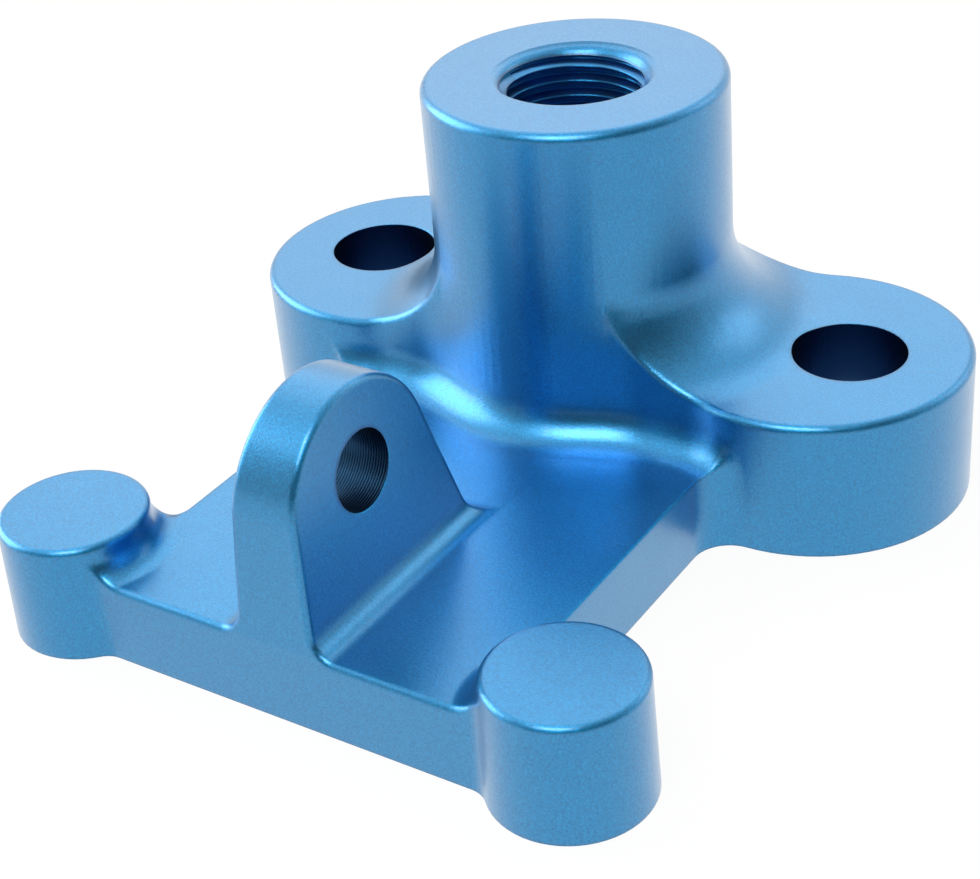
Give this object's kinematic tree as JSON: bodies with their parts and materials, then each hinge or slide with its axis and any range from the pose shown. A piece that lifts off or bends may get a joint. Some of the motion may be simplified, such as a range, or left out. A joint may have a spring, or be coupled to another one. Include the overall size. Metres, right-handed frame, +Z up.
{
  "type": "machined mounting bracket",
  "caption": "Blue anodised aluminium bracket: a round tapped boss between drilled ears, with a flat web out to round posts and an upright drilled lug.",
  "frame": {"origin": "where the axis of the tapped boss meets the mounting face", "axes": "+Z up the boss, +X through the right ear, +Y towards the back, with the web and the lug towards -Y"},
  "size_m": [0.0634, 0.0603, 0.0322],
  "materials": {
    "body": "blue anodised over a fine bead-blasted surface"
  },
  "bodies": {
    "root": {"bracket": "body"}
  },
  "joints": []
}
